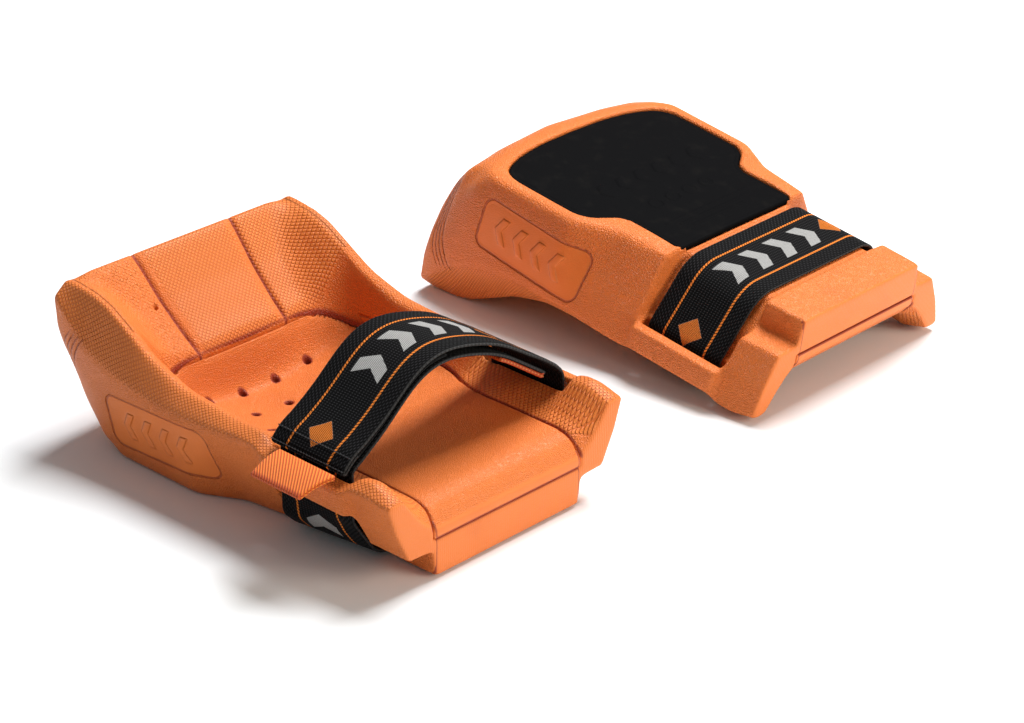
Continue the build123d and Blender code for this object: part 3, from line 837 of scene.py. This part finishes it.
def make_outer_flap(pad, arch, looks):
    """The free end of the strap, its hook patch, its sewn hem and the pull tab."""
    start = arch.flap_start()
    outer, tip = f"{pad}_outer_flap", f"{pad}_outer_flap_end"
    hem_gap = (STRAP_THICKNESS + HEM_THICKNESS) / 2
    near = arch.near - arch.turn(hem_gap)
    line = arch.line(arch.radius, arch.far + arch.turn(FOLD_REACH), near)
    nodes = [f"{pad}_outer_flap_root", f"{pad}_outer_flap_tip"]
    flap = webbing("outer_flap_webbing", pad, line, STRAP_THICKNESS, outer, nodes, looks["webbing"],
                   start=start)
    lean = arch.turn(CROWN_REACH)
    crown = [arch.line(arch.radius, a, a + 1)[0] for a in (90 - lean, 90 + lean)]
    bend(flap, outer, tip, pad, *crown)
    hem = hairpin(arch.line(arch.radius, arch.near - arch.turn(20), near, 0.7), hem_gap, HEM_LENGTH)
    webbing("end_hem_webbing", pad, hem, HEM_THICKNESS, tip, [f"{pad}_end_hem"], looks["webbing"])
    hook = (arch.near - arch.turn(60), arch.near - arch.turn(16))
    middle = arch.radius - (STRAP_THICKNESS + PATCH_THICKNESS) / 2
    webbing("hook_patch_pile", pad, arch.line(middle, *hook), PATCH_THICKNESS, tip, [f"{pad}_hook_patch"],
            looks["hook_and_loop"], "hook_and_loop", y=PATCH_EDGES)
    make_stitching(pad, arch, looks["thread"])
    make_tab(pad, looks["tab_webbing"])


def make_inner_flap(pad, arch, looks):
    """The flap under the free end: its loop patch and its end folded back under itself."""
    start = arch.flap_start()
    inner, tip = f"{pad}_inner_flap", f"{pad}_inner_flap_end"
    fold_start = arch.far + arch.turn(15.0)
    line = arch.line(arch.inner, fold_start, arch.inner_near - arch.turn(FOLD_REACH))
    nodes = [f"{pad}_inner_flap_root", f"{pad}_inner_flap_tip"]
    flap = webbing("inner_flap_webbing", pad, line, STRAP_THICKNESS, inner, nodes, looks["webbing"],
                   start=start)
    lean = arch.turn(CROWN_REACH)
    crown = [arch.line(arch.inner, a, a + 1)[0] for a in (90 + lean, 90 - lean)]
    bend(flap, inner, tip, pad, *crown)
    loop = (90 + arch.turn(5), arch.inner_near - arch.turn(8))
    middle = arch.inner + (STRAP_THICKNESS + PATCH_THICKNESS) / 2
    webbing("loop_patch_pile", pad, arch.line(middle, *loop), PATCH_THICKNESS, inner, [f"{pad}_loop_patch"],
            looks["hook_and_loop"], "hook_and_loop", y=PATCH_EDGES)
    top = arch.line(arch.inner, fold_start + arch.turn(INNER_FOLD_LENGTH), fold_start, 0.8)
    fold = hairpin(top, -(STRAP_THICKNESS + LAYER_GAP), INNER_FOLD_LENGTH)
    webbing("inner_fold_webbing", pad, fold, STRAP_THICKNESS, tip, [f"{pad}_inner_fold"],
            looks["reversed_webbing"], start=start)


def bar_faces(first):
    """Faces of one stitch: rings of points that start at number first, with both ends closed."""
    faces = []
    for step in range(STITCH_STEPS):
        a = first + step * STITCH_SIDES
        b = a + STITCH_SIDES
        for j in range(STITCH_SIDES):
            after = (j + 1) % STITCH_SIDES
            faces.append([a + j, a + after, b + after, b + j])
    faces.append([first + j for j in range(STITCH_SIDES)][::-1])
    faces.append([first + STITCH_STEPS * STITCH_SIDES + j for j in range(STITCH_SIDES)])
    return faces


def make_stitching(pad, arch, material):
    """Rows of thread across the hem, each stitch a short round-ended bar that dips into the webbing."""
    points, faces = [], []
    turns = np.linspace(0, 2 * math.pi, STITCH_SIDES, endpoint=False)
    ring = [(math.cos(t), math.sin(t)) for t in turns]
    for row in STITCH_ROWS:
        angle = math.radians(arch.near - arch.turn(row))
        out = np.array([math.cos(angle), 0, math.sin(angle)])
        along = np.array([-math.sin(angle), 0, math.cos(angle)])
        radius = arch.radius + STRAP_THICKNESS / 2 - 0.05
        middle = np.array([arch.x, 0, arch.z]) + radius * out
        pitch = STRAP_WIDTH / STITCH_COUNT
        for k in range(STITCH_COUNT):
            y = STRAP_Y - STRAP_WIDTH / 2 + (k + 0.5) * pitch
            faces += bar_faces(len(points))
            for step in range(STITCH_STEPS + 1):
                share = step / STITCH_STEPS - 0.5
                rise = 0.32 * math.cos(share * math.pi)
                size = 0.34 * max(0.35, math.cos(share * 2.4))
                place = middle + (0, y + share * pitch * 0.95, 0)
                for across, up in ring:
                    points.append(place + out * (rise + up * size) + along * across * size)
    add_piece(f"{pad}_hem_thread", np.array(points), faces, pad, material,
              f"{pad}_outer_flap_end", [f"{pad}_hem_stitching"])


def make_tab(pad, material):
    """A loop of narrow webbing folded flat, sewn to the hem, its free end sagging a little."""
    low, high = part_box(f"{pad}_pull_tab")
    back = PLACES[pad].inverted()
    corners = [back @ Vector(c) / MM for c in ((low.x, low.y, low.z), (high.x, high.y, high.z))]
    tip, root = sorted(c.x for c in corners)
    z = sum(c.z for c in corners) / 2
    share = np.linspace(0, 1, 14)
    sag = TAB_DROOP * share ** 1.6
    top = np.stack([root + (tip + 1.1 - root) * share, z + 0.7 - sag + 0.5 * np.sin(share * math.pi)], 1)
    loop = np.vstack([top, hairpin(top, 1.35, TAB_LENGTH)])
    taper = np.clip((root - loop[:, 0]) / TAB_LENGTH, 0, 1)
    y = (-85 + 4 * taper, -46.5 - 1.5 * taper)
    webbing("pull_tab_webbing", pad, loop, TAB_THICKNESS, f"{pad}_tab", [f"{pad}_pull_tab"], material,
            "tab_webbing", y=y)


# ---- materials -----------------------------------------------------------------------------------
class Tree:
    """Short calls for building one material's nodes. Values may be numbers or sockets."""

    def __init__(self, name):
        self.material = bpy.data.materials.new(name)
        self.material.use_nodes = True
        self.nodes = self.material.node_tree.nodes
        self.surface = self.nodes["Principled BSDF"]

    def add(self, kind, inputs=None, **settings):
        node = self.nodes.new(kind)
        for key, value in settings.items():
            setattr(node, key, value)
        for key, value in (inputs or {}).items():
            self.feed(node.inputs[key], value)
        return node

    def feed(self, socket, value):
        if isinstance(value, bpy.types.NodeSocket):
            self.material.node_tree.links.new(value, socket)
        else:
            socket.default_value = value

    def math(self, operation, a, b=0.0, c=0.0, clamp=False):
        node = self.add("ShaderNodeMath", {0: a, 1: b, 2: c}, operation=operation, use_clamp=clamp)
        return node.outputs[0]

    def times(self, a, b):
        return self.math("MULTIPLY", a, b)

    def value(self, name):
        return self.add("ShaderNodeAttribute", attribute_name=name).outputs["Fac"]

    def vector(self, name):
        return self.add("ShaderNodeAttribute", attribute_name=name).outputs["Vector"]

    def parts(self, vector):
        return self.add("ShaderNodeSeparateXYZ", {0: vector}).outputs

    def step(self, value, low, high):
        """0 below low, 1 above high, smooth between; falling if low is above high."""
        node = self.add("ShaderNodeMapRange", {"Value": value, "From Min": low, "From Max": high})
        node.interpolation_type = "SMOOTHSTEP"
        return node.outputs[0]

    def noise(self, vector, scale, detail=2.0):
        return self.add("ShaderNodeTexNoise", {"Vector": vector, "Scale": scale, "Detail": detail}).outputs[0]

    def cells(self, vector, scale, feature="DISTANCE_TO_EDGE"):
        node = self.add("ShaderNodeTexVoronoi", {"Vector": vector, "Scale": scale}, feature=feature)
        return node.outputs["Distance"]

    def wave(self, value, pitch, shift=0.0):
        """A sine of the value, 0 to 1, with this pitch."""
        phase = self.math("MULTIPLY_ADD", value, 2 * math.pi / pitch, shift)
        return self.math("MULTIPLY_ADD", self.math("SINE", phase), 0.5, 0.5)

    def blend(self, factor, a, b):
        """Between two numbers or sockets."""
        node = self.add("ShaderNodeMix", {0: factor, 2: a, 3: b}, data_type="FLOAT")
        return node.outputs[0]

    def colours(self, factor, a, b):
        inputs = {0: factor, 6: a, 7: b}
        return self.add("ShaderNodeMix", inputs, data_type="RGBA").outputs[2]

    def bump(self, height, millimetres, normal=None):
        inputs = {"Height": height, "Distance": millimetres * MM, "Strength": 1.0}
        if normal is not None:
            inputs["Normal"] = normal
        return self.add("ShaderNodeBump", inputs).outputs[0]

    def finish(self, colour, roughness, normal, **constants):
        self.feed(self.surface.inputs["Base Color"], colour)
        self.feed(self.surface.inputs["Roughness"], roughness)
        self.feed(self.surface.inputs["Normal"], normal)
        for key, value in constants.items():
            self.surface.inputs[key.replace("_", " ")].default_value = value
        return self.material


ORANGE = (0.78, 0.196, 0.035, 1)
# used for the random mottle and the skin's grain, and for the painted shade in the knurl's hollows
ORANGE_DARK = (0.60, 0.118, 0.018, 1)
# painted highlight colour for the raised tops of the knurl
PAINTED_HIGHLIGHT_ORANGE = (0.93, 0.30, 0.06, 1)
# painted shade: the dark red painted into joints, seams, vent rims and grooves, where shade falls
PAINTED_SHADE_RED = (0.24, 0.014, 0.008, 1)
BLACK = (0.003, 0.003, 0.0033, 1)
CHARCOAL = (0.026, 0.026, 0.028, 1)
LINE_ORANGE = (0.86, 0.24, 0.035, 1)
SILVER = (0.62, 0.62, 0.61, 1)
EDGE_GREY = (0.10, 0.10, 0.10, 1)
TAB_RED = (0.62, 0.07, 0.012, 1)
FLOOR_COLOUR = (0.90, 0.93, 0.95, 1)
DEVICE_PITCH = 20.5
DEVICE_PERIOD = 6.0


def knurl(tree, lattice, pitch=2.65):
    """Raised lozenges on the lattice (across, along)."""
    u, w, _ = tree.parts(lattice)
    a = tree.times(tree.math("ADD", u, w), math.pi / pitch)
    b = tree.times(tree.math("SUBTRACT", u, w), math.pi / pitch)
    both = tree.times(tree.math("SINE", a), tree.math("SINE", b))
    return tree.step(tree.math("ABSOLUTE", both), 0.12, 0.62)


def grip_grooves(tree, pad):
    """1 in the middle of a grip groove, 0 away from it."""
    x, y, z = tree.parts(pad)
    nearest = FAR
    for far_y, bow_z, below, above in RIBS:
        rise = tree.math("SUBTRACT", z, bow_z)
        bow = tree.times(rise, rise)
        bow = tree.times(bow, tree.blend(tree.step(rise, -0.1, 0.1), 1 / below, 1 / above))
        away = tree.math("ABSOLUTE", tree.math("ADD", tree.math("SUBTRACT", y, far_y), bow))
        nearest = tree.math("MINIMUM", nearest, away)
    where = tree.times(tree.step(z, 10, 18), tree.step(z, 68, 60))
    where = tree.times(where, tree.step(tree.math("ABSOLUTE", x), 62, 68))
    return tree.times(tree.step(nearest, 0.75, 0.1), where)


def foam_material(name, grain_scale, grain_depth, knurled):
    """Moulded foam: a pebbled skin, painted shade along its joints, seams and vent rims, and on the shell
    knurled fields (painted highlight on their tops, painted shade in their hollows), grip grooves and a
    plate, with painted shade in their grooves.
    """
    t = Tree(name)
    pad = t.vector("pad")
    cloud = t.noise(pad, 0.035, 3.0)
    mottle = t.noise(pad, 0.9, 2.0)
    pebble = t.step(t.cells(pad, grain_scale), 0.02, 0.30)
    pebble = t.times(pebble, t.math("MULTIPLY_ADD", mottle, 0.5, 0.75))
    calm = t.value("end")
    colour = t.colours(t.times(t.step(cloud, 0.45, 0.8), 0.3), ORANGE, ORANGE_DARK)
    if knurled:
        field, plate = t.value("knurl"), t.value("plate")
        inside = t.step(plate, 0.4, -0.4)
        calm = t.math("MAXIMUM", calm, t.math("MAXIMUM", field, inside))
        bumps = knurl(t, t.vector("lattice"))
        proud = t.times(t.step(t.value("device"), 0.5, -0.3), inside)
        groove = t.step(t.math("ABSOLUTE", t.math("SUBTRACT", plate, 0.3)), 0.9, 0.2)
    skin = t.times(pebble, t.math("MULTIPLY_ADD", calm, -0.85, 1.0))
    grain_line = t.times(t.math("SUBTRACT", 1.0, pebble), t.math("MULTIPLY_ADD", calm, -0.25, 0.25))
    colour = t.colours(grain_line, colour, ORANGE_DARK)
    normal = t.bump(skin, grain_depth)
    if knurled:
        fine = t.times(t.wave(t.parts(pad)[0], 1.3), t.times(t.value("end"), 0.12))
        normal = t.bump(t.math("MULTIPLY_ADD", bumps, field, fine), 0.7, normal)
        ribs = grip_grooves(t, pad)
        normal = t.bump(t.math("SUBTRACT", proud, t.math("ADD", groove, ribs)), 0.7, normal)
        # painted shade in the grip grooves
        colour = t.colours(t.times(ribs, 0.5), colour, PAINTED_SHADE_RED)
        # painted highlight on the knurl's raised tops and painted shade in its hollows
        colour = t.colours(t.times(t.times(bumps, field), 0.3), colour, PAINTED_HIGHLIGHT_ORANGE)
        hollow_shade = t.times(t.math("SUBTRACT", 1.0, bumps), field)
        colour = t.colours(t.times(hollow_shade, 0.45), colour, ORANGE_DARK)
        # painted shade in the groove round the plate
        colour = t.colours(t.times(groove, 0.5), colour, PAINTED_SHADE_RED)
    # painted shade along the joint lines, the panel seams and the vent rims
    line = t.step(t.value("line"), 1.5, 0.35)
    colour = t.colours(t.times(line, 0.85), colour, PAINTED_SHADE_RED)
    roughness = t.math("MULTIPLY_ADD", mottle, 0.16, 0.40)
    return t.finish(colour, roughness, normal, Specular_IOR_Level=0.35)


def rubber_material():
    """Dull black rubber with a fine moulded grain and a little dust."""
    t = Tree("sole_rubber")
    pad = t.vector("pad")
    grain = t.noise(pad, 2.2, 3.0)
    dust = t.step(t.noise(pad, 0.09, 4.0), 0.5, 0.8)
    colour = t.colours(t.times(dust, 0.35), (0.0045, 0.0045, 0.005, 1), (0.014, 0.013, 0.012, 1))
    roughness = t.math("MULTIPLY_ADD", dust, 0.15, 0.65)
    return t.finish(colour, roughness, t.bump(grain, 0.12), IOR=1.22, Specular_IOR_Level=0.04)


def motif(t, s, v):
    """Generic woven devices along the strap's middle: a lozenge, a gap and four chevrons, over again.

    Returns the mask of all of them and the lozenge's alone, which is orange."""
    place = t.math("DIVIDE", t.math("MULTIPLY_ADD", s, -1.0, -0.75), DEVICE_PITCH)
    cell = t.times(t.math("SUBTRACT", t.math("FRACT", place), 0.5), DEVICE_PITCH)
    wide = t.math("ABSOLUTE", v)
    arm = t.math("ABSOLUTE", t.math("ADD", cell, t.math("MULTIPLY_ADD", wide, 0.6, -3.0)))
    chevron = t.times(t.step(arm, 4.4, 4.0), t.step(wide, 9.4, 9.0))
    lozenge = t.step(t.math("ADD", t.math("ABSOLUTE", cell), wide), 8.4, 7.8)
    number = t.math("FLOORED_MODULO", t.math("FLOOR", place), DEVICE_PERIOD)
    lozenge = t.times(lozenge, t.step(number, 0.9, 0.1))
    chevron = t.times(chevron, t.step(number, 1.1, 1.9))
    return t.math("ADD", lozenge, chevron), lozenge


def webbing_material(name, ground, rib_colour, line, device, two_sided):
    """Jacquard webbing: ribbed middle, twill margins, two thin lines and woven devices on its face."""
    t = Tree(name)
    s, v, side = t.parts(t.vector("strap"))
    wide = t.math("ABSOLUTE", v)
    margin = t.step(wide, 14.2, 15.0)
    rib = t.times(t.wave(s, 1.35), t.wave(v, 1.9))
    twill = t.times(t.wave(t.math("ADD", s, wide), 2.6), t.wave(wide, 1.3))
    thread = t.wave(t.math("MULTIPLY_ADD", v, 0.4, s), 0.8)
    weave = t.step(t.blend(margin, rib, twill), 0.22, 0.75)
    face = 1.0 if two_sided else t.step(side, -0.2, 0.4)
    off_line = t.math("ABSOLUTE", t.math("SUBTRACT", wide, 14.0))
    twist = t.step(t.wave(t.math("MULTIPLY_ADD", wide, 0.8, s), 1.9), 0.05, 0.3)
    stitched = t.times(t.times(t.step(off_line, 0.75, 0.5), twist), face)
    devices, warm = motif(t, s, v)
    devices = t.times(devices, face)
    colour = t.colours(weave, ground, rib_colour)
    colour = t.colours(stitched, colour, line)
    bright = t.colours(warm, device, line)
    colour = t.colours(devices, colour, t.colours(t.times(thread, 0.6), bright, ground))
    edge = t.step(wide, 24.2, 24.8)
    colour = t.colours(t.times(edge, 0.35), colour, EDGE_GREY)
    fuzz = t.noise(t.vector("pad"), 3.0, 2.0)
    raised = t.blend(devices, weave, t.math("ADD", thread, 0.4))
    raised = t.math("MULTIPLY_ADD", fuzz, 0.3, raised)
    return t.finish(colour, t.blend(devices, 0.75, 0.55), t.bump(raised, 0.42), Sheen_Weight=0.02,
                    IOR=1.3, Specular_IOR_Level=0.1)


def pile_material():
    """Hook-and-loop: a dense black nap."""
    t = Tree("hook_and_loop")
    pad = t.vector("pad")
    nap = t.cells(pad, 1.6, "F1")
    colour = t.colours(nap, CHARCOAL, BLACK)
    normal = t.bump(t.math("SUBTRACT", 1.0, nap), 0.4)
    return t.finish(colour, 0.95, normal, Sheen_Weight=0.05, Specular_IOR_Level=0.1)


def thread_material():
    t = Tree("thread")
    x, y, _ = t.parts(t.vector("pad"))
    twist = t.wave(t.math("ADD", y, x), 0.45)
    colour = t.colours(twist, (0.012, 0.012, 0.013, 1), (0.05, 0.05, 0.055, 1))
    return t.finish(colour, 0.55, t.bump(twist, 0.08), Specular_IOR_Level=0.3)


def tab_material():
    """Bright tape with slanting ribs."""
    t = Tree("tab_webbing")
    s, v, _ = t.parts(t.vector("strap"))
    rib = t.wave(t.math("MULTIPLY_ADD", v, 0.8, s), 2.1)
    thread = t.wave(t.math("MULTIPLY_ADD", s, -0.6, v), 0.8)
    colour = t.colours(rib, (0.62, 0.085, 0.015, 1), (0.90, 0.25, 0.03, 1))
    hem = t.step(t.math("ABSOLUTE", t.math("SUBTRACT", s, TAB_LENGTH)), 2.6, 0.6)
    colour = t.colours(t.times(hem, 0.55), colour, (0.42, 0.02, 0.01, 1))
    height = t.math("MULTIPLY_ADD", thread, 0.25, rib)
    return t.finish(colour, 0.68, t.bump(height, 0.3), Sheen_Weight=0.08, Specular_IOR_Level=0.25)


def make_looks():
    return {
        "shell_foam": foam_material("shell_foam", 0.75, 0.34, True),
        "liner_foam": foam_material("liner_foam", 1.0, 0.26, False),
        "sole_rubber": rubber_material(),
        "webbing": webbing_material("webbing", BLACK, CHARCOAL, LINE_ORANGE, SILVER, False),
        "reversed_webbing": webbing_material("reversed_webbing", TAB_RED, LINE_ORANGE, BLACK, BLACK, True),
        "hook_and_loop": pile_material(),
        "thread": thread_material(),
        "tab_webbing": tab_material(),
    }


# ---- both pads -----------------------------------------------------------------------------------
def lattice(points):
    """The knurl's own coordinates: across the pad and along the rim or up the knee wall."""
    y = np.linspace(-PAD_END, PAD_END, 400)
    rim = np.concatenate([[0], np.cumsum(np.hypot(np.diff(y), np.diff(track(CREST_Z, y))))])
    along_rim = np.interp(points[:, 1], y, rim)
    wall = points[:, 1] * 0.733 + points[:, 2] * 0.681
    on_wall = (np.abs(points[:, 0]) < RIM_INNER_X + 2) & (points[:, 1] > 68)
    drop = np.abs(points[:, 0]) - 0.6 * (points[:, 2] - track(CREST_Z, points[:, 1]))
    across = np.where(on_wall, points[:, 0], drop)
    return np.stack([across, np.where(on_wall, wall, along_rim), np.zeros(len(points))], 1)


def make_body(pad, surfaces, looks):
    """Shell, cushion and sole, all riding on the pad itself."""
    body = f"{pad}_pad"
    (points, quads), (cushion, cushion_quads), (sole, sole_quads) = surfaces
    masks = body_masks(points)
    masks["lattice"] = lattice(points)
    add_piece(f"{pad}_moulded_foam", points, quads.tolist(), pad, looks["shell_foam"], body,
              [f"{pad}_shell"], masks)
    piece = add_piece(f"{pad}_cushion", cushion, cushion_quads.tolist(), pad, looks["liner_foam"],
                      body, [f"{pad}_liner"], cushion_masks(cushion))
    add_piece(f"{pad}_ground_sole", sole, sole_quads.tolist(), pad, looks["sole_rubber"], body,
              [f"{pad}_sole"])


def make_pads():
    looks = make_looks()
    surfaces = (*make_body_surfaces(), make_sole_surface())
    for pad, arch in (("upright", Arch(*UPRIGHT_ARCH, 1)), ("inverted", Arch(*INVERTED_ARCH, 0))):
        make_body(pad, surfaces, looks)
        make_lower_run(pad, arch, looks["webbing"])
        make_slot_folds(pad, arch, looks["webbing"])
        make_outer_flap(pad, arch, looks)
        make_inner_flap(pad, arch, looks)


# ---- the picture ---------------------------------------------------------------------------------
def make_camera():
    azimuth, elevation, roll = (math.radians(a) for a in (CAMERA_AZIMUTH, CAMERA_ELEVATION, CAMERA_ROLL))
    data = bpy.data.cameras.new("camera")
    data.lens, data.sensor_width = CAMERA_LENS, 36
    data.clip_end = 50
    camera = bpy.data.objects.new("camera", data)
    bpy.context.scene.collection.objects.link(camera)
    level = math.cos(elevation)
    look = Vector((-math.sin(azimuth) * level, math.cos(azimuth) * level, -math.sin(elevation)))
    side = look.cross(Vector((0, 0, 1))).normalized()
    up = side.cross(look)
    right = side * math.cos(roll) + up * math.sin(roll)
    top = up * math.cos(roll) - side * math.sin(roll)
    turn = Matrix((right, top, -look)).transposed().to_4x4()
    camera.matrix_world = Matrix.Translation(placed("upright", CAMERA_FROM_PAD)) @ turn
    bpy.context.scene.camera = camera


def area_light(name, place, size, power, colour=(1, 1, 1)):
    data = bpy.data.lights.new(name, "AREA")
    data.energy, data.size, data.color = power, size, colour
    light = bpy.data.objects.new(name, data)
    light.location = place
    light.rotation_euler = (Vector((0, 0, 0.03)) - Vector(place)).to_track_quat("-Z", "Y").to_euler()
    bpy.context.scene.collection.objects.link(light)


def make_floor():
    bpy.ops.mesh.primitive_plane_add(size=30)
    floor = bpy.context.object
    floor.name = "floor"
    t = Tree("floor")
    grain = t.noise(t.add("ShaderNodeTexCoord").outputs["Object"], 40.0)
    looks = t.finish(FLOOR_COLOUR, 0.9, t.bump(grain, 0.01), Specular_IOR_Level=0.0)
    floor.data.materials.append(looks)


def make_studio():
    make_floor()
    area_light("key", (0.85, 0.1, 1.75), 1.0, 60)
    area_light("front", (0.5, -1.7, 0.8), 0.9, 19, (1.0, 0.90, 0.74))
    world = bpy.data.worlds.new("world")
    bpy.context.scene.world = world
    world.use_nodes = True
    world.node_tree.nodes["Background"].inputs["Color"].default_value = (1.0, 1.0, 1.0, 1)
    world.node_tree.nodes["Background"].inputs["Strength"].default_value = 0.23
    bpy.context.scene.view_settings.view_transform = "Standard"


make_camera()
make_studio()
make_pads()

bpy.context.view_layer.update()
